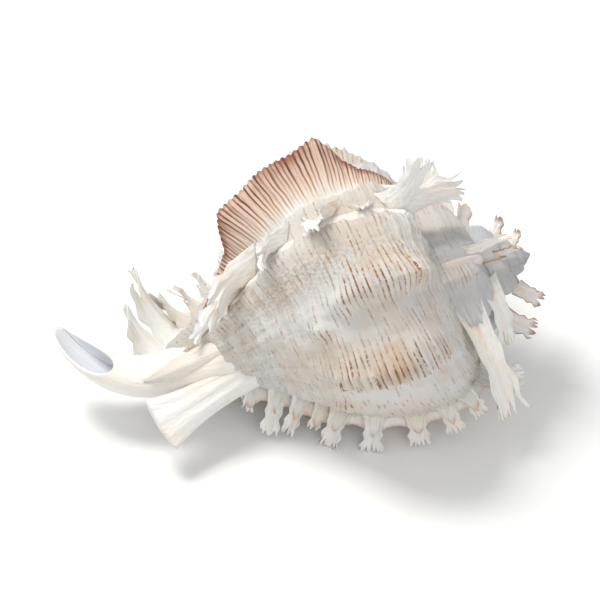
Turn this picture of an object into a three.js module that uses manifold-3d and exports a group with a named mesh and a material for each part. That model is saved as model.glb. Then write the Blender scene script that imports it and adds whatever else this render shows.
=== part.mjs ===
// Branched murex shell: one solid that grew as a single piece, hollow from its mouth inwards.
//
// The shell is worked out in its own frame, in millimetres: the apex is the origin and X runs along
// the coiling axis towards the apex. A place is given by its distance down the axis from the apex (s),
// its distance from the axis (r) and its growth angle (g, degrees: 0 at the lip, negative before it).
// It is then turned into the pose in which it lies, with the middle of its base at the origin.
import * as THREE from 'three';
import { mergeVertices } from 'three/addons/utils/BufferGeometryUtils.js';
import Module from 'manifold-3d';

// ---- Driving dimensions ------------------------------------------------------------------------
const WHORL_RATIO = 1.92; // growth in one whole turn
const LIP_TURN = -68; // degrees about the axis at the lip, from the top towards the front
const TURN = 360;
const WALL = 3.2; // wall of the last whorl, inside the outline
const GLAZE = 1.2; // clearance of the hollow over the whorl before
const CAVITY_DEPTH = 200; // degrees that the hollow runs inwards from the lip
const RIB_STEP = 123; // degrees between ribs
const LIP_RIB = -1; // growth angle of the frilled lip
const FRINGE_RIB = -116; // growth angle of the rib before it
const RUFFLE = -93; // growth angle of the tall ruffle that stands between those two
const UNDER_RIB = -244; // growth angle of the oldest rib of the last whorl
const SPIRE_END = -1500; // growth angle at which the spire is too small to draw
const AXIS_CORE = 0.6; // radius left along the axis at the very ends
const AXIS_TILT = 17; // degrees that the apex end is raised across the view
const PITCH = 2.6; // degrees that the apex end is raised off the floor
const ROLL = 46; // degrees that the shell is rolled over onto its mouth
const FLAT = 0.5; // depth worn off the points it stands on
const CLIMB = 10; // how far the suture has climbed the spire when it reaches the lip
const SINK = 1.2; // depth to which the foot of a web is sunk into the whorl

// Outer section of the last whorl: s, r, how fast each grows with the scale, and its share of the climb.
const STATIONS = [
  [46, 33, 1.0, 1.0, 1.0], // suture
  [47.5, 44, 1.0, 1.0, 1.0], // ramp
  [52, 56, 1.0, 1.0, 0.8], // shoulder
  [63, 63.5, 0.92, 1.0, 0.5], // upper flank
  [79, 65, 0.72, 1.0, 0.2], // middle
  [95, 58, 0.5, 1.0, 0], // lower flank
  [110, 44, 0.45, 1.0, 0], // base
  [124, 28, 0.4, 1.0, 0], // end of the base
  [135, 18, 0.35, 0.9, 0], // neck
  [144, 12, 0.3, 0.9, 0], // column
  [150, 7, 0.3, 0.9, 0], // end
];
const LAST = STATIONS.length - 1;

// ---- Growth and outline ------------------------------------------------------------------------
const radians = (degrees) => (degrees * Math.PI) / 180;
const scaleAt = (g) => WHORL_RATIO ** (g / TURN);
const bell = (x, centre, width) => Math.exp(-(((x - centre) / width) ** 2));
const clamp = (x, low, high) => Math.min(high, Math.max(low, x));
const ease = (low, high, x) => {
  const q = clamp((x - low) / (high - low), 0, 1);
  return q * q * (3 - 2 * q);
};
const interpolate = (pairs, x) => {
  if (x <= pairs[0][0]) return pairs[0][1];
  for (let i = 1; i < pairs.length; i += 1) {
    const [x0, y0] = pairs[i - 1];
    const [x1, y1] = pairs[i];
    if (x <= x1) return y0 + ((y1 - y0) * (x - x0)) / (x1 - x0);
  }
  return pairs[pairs.length - 1][1];
};

// Point of the shell's frame at growth angle g, s down the axis and r out from it.
function place(g, s, r) {
  const a = radians(LIP_TURN - g);
  return new THREE.Vector3(-s, -r * Math.sin(a), r * Math.cos(a));
}

// Direction of growth about the axis.
function forward(g) {
  const a = radians(LIP_TURN - g);
  return new THREE.Vector3(0, Math.cos(a), Math.sin(a));
}

// Section point and outward normal at t (0 at the suture, a whole number at each station):
// a Catmull-Rom curve through the scaled stations.
function section(g, t) {
  const k = scaleAt(g);
  const i = clamp(Math.floor(t), 0, LAST - 1);
  const f = t - i;
  const weights = [
    (-f + 2 * f ** 2 - f ** 3) / 2,
    (2 - 5 * f ** 2 + 3 * f ** 3) / 2,
    (f + 4 * f ** 2 - 3 * f ** 3) / 2,
    (-(f ** 2) + f ** 3) / 2,
  ];
  const slopes = [
    (-1 + 4 * f - 3 * f ** 2) / 2,
    (-10 * f + 9 * f ** 2) / 2,
    (1 + 8 * f - 9 * f ** 2) / 2,
    (-2 * f + 3 * f ** 2) / 2,
  ];
  const climbed = ease(-110, 20, g);
  const sum = { s: 0, r: 0, ds: 0, dr: 0 };
  for (let step = 0; step < 4; step += 1) {
    const [s0, r0, sGrowth, rGrowth, share] = STATIONS[clamp(i + step - 1, 0, LAST)];
    const s = s0 * k ** sGrowth - CLIMB * share * climbed;
    const r = r0 * k ** rGrowth;
    sum.s += weights[step] * s;
    sum.r += weights[step] * r;
    sum.ds += slopes[step] * s;
    sum.dr += slopes[step] * r;
  }
  const length = Math.hypot(sum.ds, sum.dr) || 1;
  return { s: sum.s, r: sum.r, ns: -sum.dr / length, nr: sum.ds / length };
}

// Surface point raised by lift along the section's normal.
function surface(g, t, lift = 0) {
  const { s, r, ns, nr } = section(g, t);
  return place(g, s + lift * ns, r + lift * nr);
}

// Direction in space of the section's normal.
function normalAt(g, t) {
  const { s, r, ns, nr } = section(g, t);
  return place(g, s + ns, r + nr).sub(place(g, s, r));
}

// Length along the full-size section, and its inverse.
const ARC_TABLE = (() => {
  const table = [[0, 0]];
  const steps = 200;
  let before = section(0, 0);
  for (let i = 1; i <= steps; i += 1) {
    const t = (i / steps) * LAST;
    const now = section(0, t);
    const run = table[i - 1][1] + Math.hypot(now.s - before.s, now.r - before.r);
    table.push([t, run]);
    before = now;
  }
  return table;
})();
const arcAt = (t) => interpolate(ARC_TABLE, t);
const stationAt = (arc) => interpolate(ARC_TABLE.map(([t, run]) => [run, t]), arc);

// Height of the ribs and of the broad nodes between them, above the outline.
function relief(g, arc) {
  const past = (((-g % RIB_STEP) + RIB_STEP) % RIB_STEP) / RIB_STEP;
  const wave = (centre) => bell(past, centre, past > centre ? 0.038 : 0.105);
  const crown = (centre, width) => Math.exp(-(Math.abs((arc - centre) / width) ** 4));
  const glazed = 0.85 * bell(g, -312, 48); // share of the nodes covered beside the mouth
  const sheltered = 0.55 * bell(g, -64, 30); // share they lack behind the ruffle
  const grown = 10 * wave(0.22) * crown(46, 20) + 15 * wave(0.545) * crown(58, 23);
  const nodes = grown * (1 - glazed) * (1 - sheltered);
  const near = (past > 0.5 ? past - 1 : past) * RIB_STEP;
  const rib = 4 * (near > 0 ? bell(near, 0, 10) : bell(near, 0, 4)) * ease(4, 22, arc);
  return (nodes + rib) * ease(1, 8, arc) * (1 - ease(140, 150, arc)) * scaleAt(g);
}

// ---- Solids --------------------------------------------------------------------------------------
const wasm = await Module();
wasm.setup();

// Closed geometry from a grid of points: rows of closed rings, with the two end rings filled by fans
// about the middle of the whole ring, or of the ring points named in `about`.
function ringGeometry(rings, about = rings[0].map((_, c) => c)) {
  const columns = rings[0].length;
  const points = rings.flat();
  const middle = (ring) => about.reduce((sum, c) => sum.add(ring[c]), new THREE.Vector3())
    .divideScalar(about.length);
  const faces = [];
  for (let row = 0; row < rings.length - 1; row += 1) {
    for (let c = 0; c < columns; c += 1) {
      const next = (c + 1) % columns;
      const [a, b] = [row * columns + c, row * columns + next];
      faces.push(a, b, b + columns, a, b + columns, a + columns);
    }
  }
  const first = points.push(middle(rings[0])) - 1;
  const last = points.push(middle(rings[rings.length - 1])) - 1;
  const lastRow = (rings.length - 1) * columns;
  for (let c = 0; c < columns; c += 1) {
    const next = (c + 1) % columns;
    faces.push(first, next, c, last, lastRow + c, lastRow + next);
  }
  const geometry = new THREE.BufferGeometry().setFromPoints(points);
  geometry.setIndex(faces);
  return geometry;
}

// Solid of a closed geometry, its faces turned outwards.
function solid(geometry) {
  geometry.deleteAttribute('normal');
  geometry.deleteAttribute('uv');
  const merged = mergeVertices(geometry, 1e-4);
  const points = merged.attributes.position.array;
  const index = Uint32Array.from(merged.index.array);
  const [a, b, c] = [new THREE.Vector3(), new THREE.Vector3(), new THREE.Vector3()];
  let volume = 0;
  for (let i = 0; i < index.length; i += 3) {
    a.fromArray(points, index[i] * 3);
    b.fromArray(points, index[i + 1] * 3);
    c.fromArray(points, index[i + 2] * 3);
    volume += a.dot(b.cross(c));
  }
  if (volume < 0) {
    for (let i = 0; i < index.length; i += 3) [index[i], index[i + 1]] = [index[i + 1], index[i]];
  }
  const mesh = new wasm.Mesh({ numProp: 3, vertProperties: Float32Array.from(points), triVerts: index });
  return new wasm.Manifold(mesh);
}

// ---- Body ----------------------------------------------------------------------------------------
// Distance from the axis to the outer wall at growth angle g and s down the axis: the furthest of the
// whorls that pass there.
function bodyRadius(g, s) {
  const samples = 80;
  let furthest = AXIS_CORE;
  for (let turn = g; turn > SPIRE_END; turn -= TURN) {
    let before = null;
    for (let i = 0; i <= samples; i += 1) {
      const t = (i / samples) * LAST;
      const at = section(turn, t);
      const lift = relief(turn, arcAt(t));
      const now = [at.s + lift * at.ns, at.r + lift * at.nr];
      if (before && before[0] <= s && now[0] > s) {
        const share = (s - before[0]) / (now[0] - before[0]);
        furthest = Math.max(furthest, before[1] + share * (now[1] - before[1]));
      }
      before = now;
    }
  }
  return furthest;
}

// The whorls filled in down to the axis: rings about the axis, closer together over the spire.
function bodySolid() {
  const columnTurns = Array.from({ length: 39 }, (_, i) => -i * 9.3);
  columnTurns.push(-359.4);
  const rows = 33;
  const rings = [];
  for (let i = 0; i <= rows; i += 1) {
    const s = 1 + 148.5 * (i / rows) ** 1.15;
    rings.push(columnTurns.map((g) => place(g, s, bodyRadius(g, s))));
  }
  return solid(ringGeometry(rings));
}

// ---- Hollow --------------------------------------------------------------------------------------
// The hollow's section: a wall's thickness inside the outline, and clear of the whorl before.
const OUTER_T = [1.05, 1.5, 2.1, 3.0, 4.0, 5.0, 6.0, 6.9];
const INNER_T = [7.9, 7.2, 6.5, 5.8, 5.0, 4.4, 3.75, 3.2];
const DEEP_SHIFT = [0, 0, 0, 0, 0.15, 0.3, 0.55, 0.8]; // how far the inner stations move, deep inside

function cavitySolid() {
  const rings = [];
  for (let g = 3; g >= -CAVITY_DEPTH; g -= 13.5) {
    const k = scaleAt(g);
    const outer = OUTER_T.map((t) => surface(g, t, -WALL * k));
    const deep = 1 - ease(-90, 0, g);
    const inner = INNER_T.map((mouth, i) => {
      const t = mouth + DEEP_SHIFT[i] * deep;
      const { s, r, ns, nr } = section(g - TURN, t);
      const lift = GLAZE * k + relief(g - TURN, arcAt(t));
      return place(g, s + lift * ns, r + lift * nr);
    });
    rings.push([...outer, ...inner]);
  }
  return solid(ringGeometry(rings));
}

// ---- Flanges and fronds --------------------------------------------------------------------------
// A frilled edge standing out along the section at growth angle g: rises over `rise` degrees behind.
function flangeSolid({ g, heights, rise = 14, lean = 0, columns = 18 }) {
  const start = heights[0][0];
  const end = heights[heights.length - 1][0];
  const loop = [
    [-rise, 0], [-rise * 0.4 - lean * 0.3, 0.3], [-lean, 1], [1.2, 0],
  ];
  const rings = [];
  for (let i = 0; i <= columns; i += 1) {
    const arc = start + ((end - start) * i) / columns;
    const height = interpolate(heights, arc);
    const t = stationAt(arc);
    rings.push(loop.map(([turn, share]) => surface(g + turn, t, height * share - SINK * (1 - share))));
  }
  return solid(ringGeometry(rings));
}

// A guttered spine along a curve, with a shallow V section that opens towards `opens`.
function gutterSolid({ curve, opens, width, root, splay, thickness }) {
  const rings = [0, 0.45, 1].map((u) => {
    const point = curve.getPoint(u);
    const tangent = curve.getTangent(u);
    const front = opens.clone().addScaledVector(tangent, -opens.dot(tangent)).normalize();
    const side = tangent.clone().cross(front);
    const half = 0.5 * (width * (1 + (splay - 1) * u ** 2.2) + (root - width) * (1 - u) ** 3);
    const thick = Math.max(thickness * (1 - 0.45 * u), 0.7) / half;
    const loop = [
      [-1, 0.5], [0, 0.1], [1, 0.5],
      [1, 0.5 - thick], [0, 0.1 - 1.3 * thick], [-1, 0.5 - thick],
    ];
    return loop.map(([x, y]) => point.clone().addScaledVector(side, x * half)
      .addScaledVector(front, y * half * (1 - 0.3 * u)));
  });
  return solid(ringGeometry(rings, [1, 4]));
}

// A spine on the rib at growth angle g: it leaves along the section's normal and bends back.
function frondSolid({ g, arc, length, width, lean, sweep, splay, size }) {
  const t = stationAt(arc);
  const normal = normalAt(g, t);
  const ahead = forward(g);
  const along = ahead.clone().cross(normal);
  if (along.x > 0) along.negate();
  const [leanBack, sweepDown] = [radians(lean), radians(sweep)];
  const aim = normal.clone().multiplyScalar(Math.cos(leanBack) * Math.cos(sweepDown))
    .addScaledVector(ahead, -Math.sin(leanBack)).addScaledVector(along, Math.sin(sweepDown)).normalize();
  const full = length * size;
  const base = surface(g, t, -0.3 * size);
  const bend = normal.clone().multiplyScalar(1.2).addScaledVector(aim, 0.5).normalize();
  const middle = base.clone().addScaledVector(bend, 0.55 * full);
  const tip = base.clone().addScaledVector(aim, full + 1.5 * size);
  return gutterSolid({
    curve: new THREE.QuadraticBezierCurve3(base, middle, tip),
    opens: ahead,
    width: width * size,
    root: 1.9 * width * size,
    splay,
    thickness: 1.5 * size ** 0.5,
  });
}

// A thick frond along a curve given by (s, y, z) points.
function columnSolid({ path, opens, width, root, splay }) {
  const points = path.map(([s, y, z]) => new THREE.Vector3(-s, y, z));
  const curve = new THREE.QuadraticBezierCurve3(...points);
  return gutterSolid({ curve, opens: new THREE.Vector3(...opens), width, root, splay, thickness: 2 });
}

// Flange heights with a cusp at each spine, as a web hangs between them.
function webbed(base, peaks, from = 4, to = 156, reach = 4.5) {
  const steps = 24;
  return Array.from({ length: steps + 1 }, (_, i) => {
    const arc = from + ((to - from) * i) / steps;
    const cusp = ([at, height]) => height * Math.exp(-Math.abs(arc - at) / reach);
    const rise = peaks.reduce((sum, peak) => sum + cusp(peak), base);
    return [arc, rise * ease(from, from + 9, arc) * (1 - ease(to - 9, to, arc))];
  });
}

// One spine: [arc, length, width, lean back, sweep to the canal, splay of the tip].
const spine = (g, size) => ([arc, length, width, lean, sweep, splay]) =>
  frondSolid({ g, arc, length, width, lean, sweep, splay, size });

const LIP_SPINES = [
  [26, 35, 9.5, 34, 4, 1.8], [46, 19, 5.5, 40, 4, 1.7], [65, 21, 7, 40, 8, 1.7],
  [84, 22, 7.5, 42, 14, 1.7], [97, 22, 8.5, 42, 20, 1.8], [107, 23, 8.5, 44, 24, 1.8],
  [117, 26, 9, 48, 24, 1.7], [128, 37, 9.5, 56, 6, 1.5], [141, 27, 10.5, 56, 14, 1.3],
];
const FRINGE_SPINES = [
  [25, 30, 8.5, -8, 8, 1.6], [21, 29, 14, -16, -34, 1.2], [43, 7, 5, 30, 6, 1.6],
  [60, 16, 10, 44, 12, 1.6], [80, 17, 10, 44, 20, 1.6], [101, 23, 14, 38, 32, 1.4],
  [112, 20, 9, 34, 44, 1.3], [128, 13, 6, 35, 44, 1.2],
];
const UNDER_SPINES = [
  [24, 27, 12, -4, -10, 1.6], [38, 17, 7.5, 4, -4, 1.7], [49, 19, 7.5, 2, 0, 1.8],
  [62, 20, 8.5, 6, 2, 1.7], [77, 22, 8, 2, 4, 1.8], [92, 24, 8, 5, 4, 1.7],
  [101, 16, 5.5, 2, 6, 1.5], [111, 24, 6.5, 6, 4, 1.7], [122, 27, 7.5, 2, 2, 1.7],
  [134, 15, 5.5, 4, 6, 1.3],
];
// The one spine of each rib of the spire, after that rib's growth angle.
const SPIRE_SPINES = [
  [-369, [26, 30, 11, 30, -6, 1.5]], [-503, [26, 40, 13, -8, -30, 1.2]],
  [-615, [26, 42, 18, 0, -8, 1.4]], [-738, [26, 42, 16, 20, -10, 1.2]],
  [-866, [26, 46, 22, 0, -14, 1.3]], [-978, [26, 70, 30, 0, -4, 1.3]],
  [-1100, [26, 60, 26, 10, -12, 1.1]],
];

// Thick fronds that stand on the ramp, over the suture: (s, y, z) of root, middle and tip, the way
// the gutter opens, width, root width and splay.
const COLUMNS = [
  {
    path: [[30, -19, -10], [25, -24, -34], [26, -9, -56]],
    opens: [0.3, -1, 0],
    width: 7,
    root: 12,
    splay: 2,
  },
  {
    path: [[27, 20, 13], [26, 26, 26], [22, 22, 38]],
    opens: [0, -1, 0.2],
    width: 5.5,
    root: 13,
    splay: 1.6,
  },
  {
    path: [[20, -16, -4], [16, -20, -17], [20, -7, -30]],
    opens: [0.3, -1, 0],
    width: 5,
    root: 9,
    splay: 1.9,
  },
];

function lipSolids() {
  const web = webbed(5, LIP_SPINES.map(([arc]) => [arc, 4 + 0.08 * arc]), 3, 152);
  return [
    flangeSolid({ g: LIP_RIB, heights: web, rise: 15, lean: 6, columns: 20 }),
    ...LIP_SPINES.map(spine(LIP_RIB, scaleAt(LIP_RIB))),
  ];
}

function fringeSolids() {
  const ruffle = [
    [12, 1], [38, 2.5], [44, 6], [52, 17], [60, 14], [71, 15],
    [79, 14], [88, 16], [94, 12], [101, 6], [115, 4], [136, 1],
  ];
  const web = webbed(1, FRINGE_SPINES.map(([arc]) => [arc, 2]), 6, 140);
  return [
    flangeSolid({ g: RUFFLE, heights: ruffle, rise: 15 }),
    flangeSolid({ g: FRINGE_RIB, heights: web, rise: 12, lean: 4, columns: 14 }),
    ...FRINGE_SPINES.map(spine(FRINGE_RIB, scaleAt(FRINGE_RIB))),
  ];
}

function underSolids() {
  const web = webbed(3, UNDER_SPINES.map(([arc]) => [arc, 6]), 1, 148, 3.6);
  return [
    flangeSolid({ g: UNDER_RIB, heights: web, rise: 13, columns: 17 }),
    ...UNDER_SPINES.map(spine(UNDER_RIB, scaleAt(UNDER_RIB))),
  ];
}

function spireSolids() {
  return SPIRE_SPINES.flatMap(([g, row]) => {
    const k = scaleAt(g);
    const web = webbed(4 * k, [[26, 7 * k], [42, 2 * k]], 3, 55);
    const flange = flangeSolid({ g, heights: web, rise: 13, lean: 2, columns: 5 });
    return [flange, spine(g, k)(row)];
  });
}

// ---- Canals --------------------------------------------------------------------------------------
// Bezier blend of vectors or numbers by repeated halfway lines.
const halfway = (a, b, u) => (a.isVector3 ? a.clone().lerp(b, u) : (1 - u) * a + u * b);
function blend(values, u) {
  let layer = values;
  while (layer.length > 1) {
    const before = layer;
    layer = before.slice(1).map((value, i) => halfway(before[i], value, u));
  }
  return layer[0];
}

// A bent, flattened horn along Bezier points (s, y, z), inset all round by `inset`, over the part of
// its run between `from` and `to`. `cut` slants its open end.
function hornSolid({ path, widths, depths, wide, inset = 0, from = 0, to = 1, cut = 0, rows = 8 }) {
  const columns = 10;
  const slant = 3.9; // angle round the horn at which the cut is deepest
  const points = path.map(([s, y, z]) => new THREE.Vector3(-s, y, z));
  const rings = [];
  for (let i = 0; i <= rows; i += 1) {
    const run = from + ((to - from) * i) / rows;
    rings.push(Array.from({ length: columns }, (_, c) => {
      const turn = (c / columns) * 2 * Math.PI;
      const u = run * (1 - cut * (0.5 + 0.5 * Math.cos(turn - slant)) ** 1.5 * run ** 2);
      const ahead = blend(points, u + 1e-3).sub(blend(points, u - 1e-3)).normalize();
      const across = new THREE.Vector3(...wide);
      across.addScaledVector(ahead, -across.dot(ahead)).normalize();
      const deep = ahead.clone().cross(across);
      const half = (blend(widths, u) - inset) * Math.cos(turn);
      const thick = (blend(depths, u) - 0.8 * inset) * Math.sin(turn);
      return blend(points, u).addScaledVector(across, half).addScaledVector(deep, thick);
    }));
  }
  return solid(ringGeometry(rings));
}

const CANAL = {
  path: [[104, -1, 2], [124, -3, 1], [142, -5, 0], [156, -6, 0], [168, -7, 8], [175, -9, 31]],
  widths: [17, 14, 12, 11.5, 11, 7],
  depths: [11, 9, 7.5, 7, 7, 4],
  wide: [0, 0.93, 0.37],
  cut: 0.28,
};
const OLD_BLUNT = {
  path: [[104, -4, -4], [122, -12, -10], [138, -18, -13], [151, -22, -16]],
  widths: [9, 5, 6, 11.5],
  depths: [7, 4, 3, 2.2],
  wide: [0, 0.1, 1],
};
const OLD_SPUR = {
  path: [[104, -6, 4], [125, -13, 3], [140, -17, 1], [151, -19, 1]],
  widths: [7, 5.5, 4, 1.2],
  depths: [6, 4, 2.8, 1],
  wide: [0, -0.4, 1],
};

// ---- The whole shell -----------------------------------------------------------------------------
function restingMatrix() {
  const tilt = new THREE.Matrix4().makeRotationY(radians(-AXIS_TILT));
  const roll = new THREE.Matrix4().makeRotationX(radians(-ROLL));
  return new THREE.Matrix4().makeRotationY(radians(-PITCH)).multiply(roll).multiply(tilt);
}

function shellSolid() {
  const outside = [
    bodySolid(), ...lipSolids(), ...fringeSolids(), ...underSolids(), ...spireSolids(),
    ...COLUMNS.map(columnSolid),
    hornSolid(CANAL), hornSolid(OLD_BLUNT), hornSolid(OLD_SPUR),
  ].reduce((whole, piece) => whole.add(piece));
  const pocket = hornSolid({ ...CANAL, inset: 1.6, from: 0.66, to: 1.06, rows: 4 });
  const whole = outside.subtract(cavitySolid()).subtract(pocket);
  // Spines that cross close off a few tiny pockets: only the outer body is kept.
  return whole.decompose().reduce((kept, piece) => (piece.volume() > kept.volume() ? piece : kept));
}

const result = shellSolid().getMesh();
const geometry = new THREE.BufferGeometry();
geometry.setAttribute('position', new THREE.BufferAttribute(Float32Array.from(result.vertProperties), 3));
geometry.setIndex(Array.from(result.triVerts));
geometry.applyMatrix4(restingMatrix());
geometry.computeBoundingBox();
const { min, max } = geometry.boundingBox;
geometry.translate(-(min.x + max.x) / 2, -(min.y + max.y) / 2, -min.z - FLAT);

const ground = new THREE.BoxGeometry(400, 400, 100);
ground.translate(0, 0, -50);
const trimmed = solid(geometry).subtract(solid(ground)).getMesh();
const finished = new THREE.BufferGeometry();
finished.setAttribute('position', new THREE.BufferAttribute(Float32Array.from(trimmed.vertProperties), 3));
finished.setIndex(Array.from(trimmed.triVerts));

const chalk = new THREE.MeshStandardMaterial({ color: 0xf1ece2, roughness: 0.5, metalness: 0 });
const shell = new THREE.Mesh(finished, chalk);
shell.name = 'murex_shell';

const murex = new THREE.Group();
murex.add(shell);

export default murex;
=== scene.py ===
"""A branched murex shell: a spiral with three frilled ribs to a whorl, a tall lip and a bent canal.

Every surface is worked out in the shell's own frame, in millimetres. The apex is the origin, X runs
along the coiling axis towards the apex, and a place is given by its distance down the axis from the
apex (s), its distance from the axis (r) and its turn about the axis. The frame is then turned into
the pose in which the shell lies, and written in metres.
"""

import logging
import math
from collections.abc import Callable
from dataclasses import dataclass, field
from enum import Enum

import bpy
import numpy as np
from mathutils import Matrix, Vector


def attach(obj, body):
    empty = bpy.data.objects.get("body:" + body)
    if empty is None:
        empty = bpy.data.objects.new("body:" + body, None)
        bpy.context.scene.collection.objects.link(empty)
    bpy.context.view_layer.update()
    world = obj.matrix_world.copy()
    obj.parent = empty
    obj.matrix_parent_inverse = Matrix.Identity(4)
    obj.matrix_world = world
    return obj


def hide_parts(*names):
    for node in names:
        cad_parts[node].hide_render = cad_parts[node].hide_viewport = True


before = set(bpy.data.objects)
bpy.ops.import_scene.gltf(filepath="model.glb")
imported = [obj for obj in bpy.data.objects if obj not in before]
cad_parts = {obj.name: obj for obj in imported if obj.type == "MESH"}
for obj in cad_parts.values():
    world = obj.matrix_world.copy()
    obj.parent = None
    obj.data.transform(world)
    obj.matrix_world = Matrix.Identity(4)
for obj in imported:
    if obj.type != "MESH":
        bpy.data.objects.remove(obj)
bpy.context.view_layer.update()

LOG = logging.getLogger("murex")
NODE = "murex_shell"
MM = 0.001
TURN = 360.0
MAP_RADIUS = 60.0  # millimetres of pattern map to a radian of growth
Array = np.ndarray
Colour = tuple[float, float, float]
Socket = bpy.types.NodeSocket
Material = bpy.types.Material
PAINTS = ("stripe", "dirt_and_shade", "height", "groove", "edge", "rim")  # weights of everything on the ribs


# ---- Small numeric helpers ----
def smooth(low: float, high: float, x: Array) -> Array:
    """Smooth step: 0 below low, 1 above high, 3q^2 - 2q^3 between."""
    q = np.clip((x - low) / (high - low), 0.0, 1.0)
    return q * q * (3.0 - 2.0 * q)


def bump(x: Array, centre: float, width: float) -> Array:
    """Bell of height 1 at centre: exp(-(distance / width)^2)."""
    return np.exp(-(((x - centre) / width) ** 2))


def ripple(x: Array, y: Array, seed: float) -> Array:
    """Soft irregular field of about -1 to 1: four sine waves across each other, each turned and finer."""
    total = np.zeros(np.broadcast(x, y).shape)
    for octave in range(4):
        turn = seed + 1.9 * octave
        pitch = 1.0 + 0.73 * octave
        along = x * math.cos(turn) + y * math.sin(turn)
        across = y * math.cos(turn) - x * math.sin(turn)
        bend = 1.3 * np.sin(0.8 * pitch * across + turn)
        total = total + np.sin(pitch * along + seed * 3.1 + bend) / pitch
    return total / 2.2


def spline_weights(f: Array) -> tuple[Array, ...]:
    """Catmull-Rom weights of the four neighbours at share f of the way between the middle two."""
    return (
        (-f + 2 * f**2 - f**3) / 2,
        (2 - 5 * f**2 + 3 * f**3) / 2,
        (f + 4 * f**2 - 3 * f**3) / 2,
        (-(f**2) + f**3) / 2,
    )


def unit(v: Array) -> Array:
    """Vectors of the last axis brought to length 1."""
    return v / np.maximum(np.linalg.norm(v, axis=-1, keepdims=True), 1e-12)


# ---- The coil and its outline ----
@dataclass(frozen=True)
class Coil:
    """The growth law: everything swells by a fixed ratio in each turn about the axis."""

    whorl_ratio: float = 1.92
    lip_turn: float = -68.0

    def scale(self, g: Array) -> Array:
        """Size at growth angle g (degrees, 0 at the lip, negative before it): ratio ^ (g / 360)."""
        return self.whorl_ratio ** (np.asarray(g, float) / TURN)

    def azimuth(self, g: Array) -> Array:
        """Turn about the axis at growth angle g, in radians: it falls as the shell grows."""
        return np.radians(self.lip_turn - np.asarray(g, float))

    def place(self, g: Array, s: Array, r: Array) -> Array:
        """Points, or directions, in the section at growth angle g: s down the axis and r out from it."""
        s, r, a = np.broadcast_arrays(s, r, self.azimuth(g))
        return np.stack([-s, -r * np.sin(a), r * np.cos(a)], -1)

    def forward(self, g: Array) -> Array:
        """Direction of growth about the axis."""
        a = self.azimuth(g)
        return np.stack([np.zeros_like(a), np.cos(a), np.sin(a)], -1)


@dataclass(frozen=True)
class Outline:
    """The whorl's outer section as a smooth curve through named stations.

    Each station is (s, r, how fast s grows, how fast r grows, climb): its s and r are multiplied by
    the coil's scale to those powers, so the shoulder keeps its shape and the canal shortens less.
    Near the lip the whorl climbs the spire, by its share of the full climb at each station.
    """

    coil: Coil = Coil()
    climb: float = 10.0
    climbing: tuple[float, float] = (-110.0, 20.0)  # growth angles between which the whorl climbs
    samples: int = 600  # points by which the section is measured
    stations: tuple = (
        (46.0, 33.0, 1.00, 1.0, 1.0),  # suture
        (47.5, 44.0, 1.00, 1.0, 1.0),  # ramp
        (52.0, 56.0, 1.00, 1.0, 0.8),  # shoulder
        (63.0, 63.5, 0.92, 1.0, 0.5),  # upper flank
        (79.0, 65.0, 0.72, 1.0, 0.2),  # middle
        (95.0, 58.0, 0.50, 1.0, 0.0),  # lower flank
        (110.0, 44.0, 0.45, 1.0, 0.0),  # base
        (124.0, 28.0, 0.40, 1.0, 0.0),  # end of the base
        (135.0, 18.0, 0.35, 0.9, 0.0),  # neck
        (144.0, 12.0, 0.30, 0.9, 0.0),  # column
        (150.0, 7.0, 0.30, 0.9, 0.0),  # end
    )

    @property
    def last(self) -> int:
        """Index of the last station."""
        return len(self.stations) - 1

    def section(self, g: Array, t: Array) -> tuple[Array, Array, Array, Array]:
        """Section points and outward normals: a Catmull-Rom curve through the scaled stations.

        Args:
            g: growth angle.
            t: place along the section, 0 at the suture, a whole number at each station.

        Returns:
            s, r and the unit normal's two parts (down the axis, outwards).
        """
        g, t = np.broadcast_arrays(np.asarray(g, float), np.asarray(t, float))
        table = np.array(self.stations)
        k, climb = self.coil.scale(g), self.climb * smooth(*self.climbing, g)
        i = np.clip(np.floor(t).astype(int), 0, self.last - 1)
        f = t - i
        slopes = (
            (-1 + 4 * f - 3 * f**2) / 2,
            (-10 * f + 9 * f**2) / 2,
            (1 + 8 * f - 9 * f**2) / 2,
            (-2 * f + 3 * f**2) / 2,
        )
        s, r, ds, dr = (np.zeros_like(k) for _ in range(4))
        for step, (w, d) in enumerate(zip(spline_weights(f), slopes)):
            row = table[np.clip(i + step - 1, 0, self.last)]
            si = row[..., 0] * k ** row[..., 2] - row[..., 4] * climb
            ri = row[..., 1] * k ** row[..., 3]
            s, r, ds, dr = s + w * si, r + w * ri, ds + d * si, dr + d * ri
        length = np.maximum(np.hypot(ds, dr), 1e-9)
        return s, r, -dr / length, ds / length

    def point(self, g: Array, t: Array, lift: Array = 0.0) -> Array:
        """Point of the outer surface, raised by lift along the section's normal."""
        s, r, ns, nr = self.section(g, t)
        return self.coil.place(g, s + lift * ns, r + lift * nr)

    def normal(self, g: Array, t: Array) -> Array:
        """Outward direction in space of the section's normal."""
        _, _, ns, nr = self.section(g, t)
        return self.coil.place(g, ns, nr)

    def measured(self) -> tuple[Array, Array]:
        """Close places t along the full-size section, and the length run from the suture to each."""
        fine = np.linspace(0.0, self.last, self.samples)
        s, r, _, _ = self.section(0.0, fine)
        return fine, np.concatenate([[0.0], np.cumsum(np.hypot(np.diff(s), np.diff(r)))])

    def arc(self, t: Array) -> Array:
        """Length along the full-size section from the suture to t, in millimetres."""
        return np.interp(t, *self.measured())

    def station_at(self, arc: Array) -> Array:
        """Inverse of arc: the place t at that length along the full-size section."""
        fine, run = self.measured()
        return np.interp(arc, run, fine)


COIL = Coil()
OUTLINE = Outline(COIL)


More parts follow.
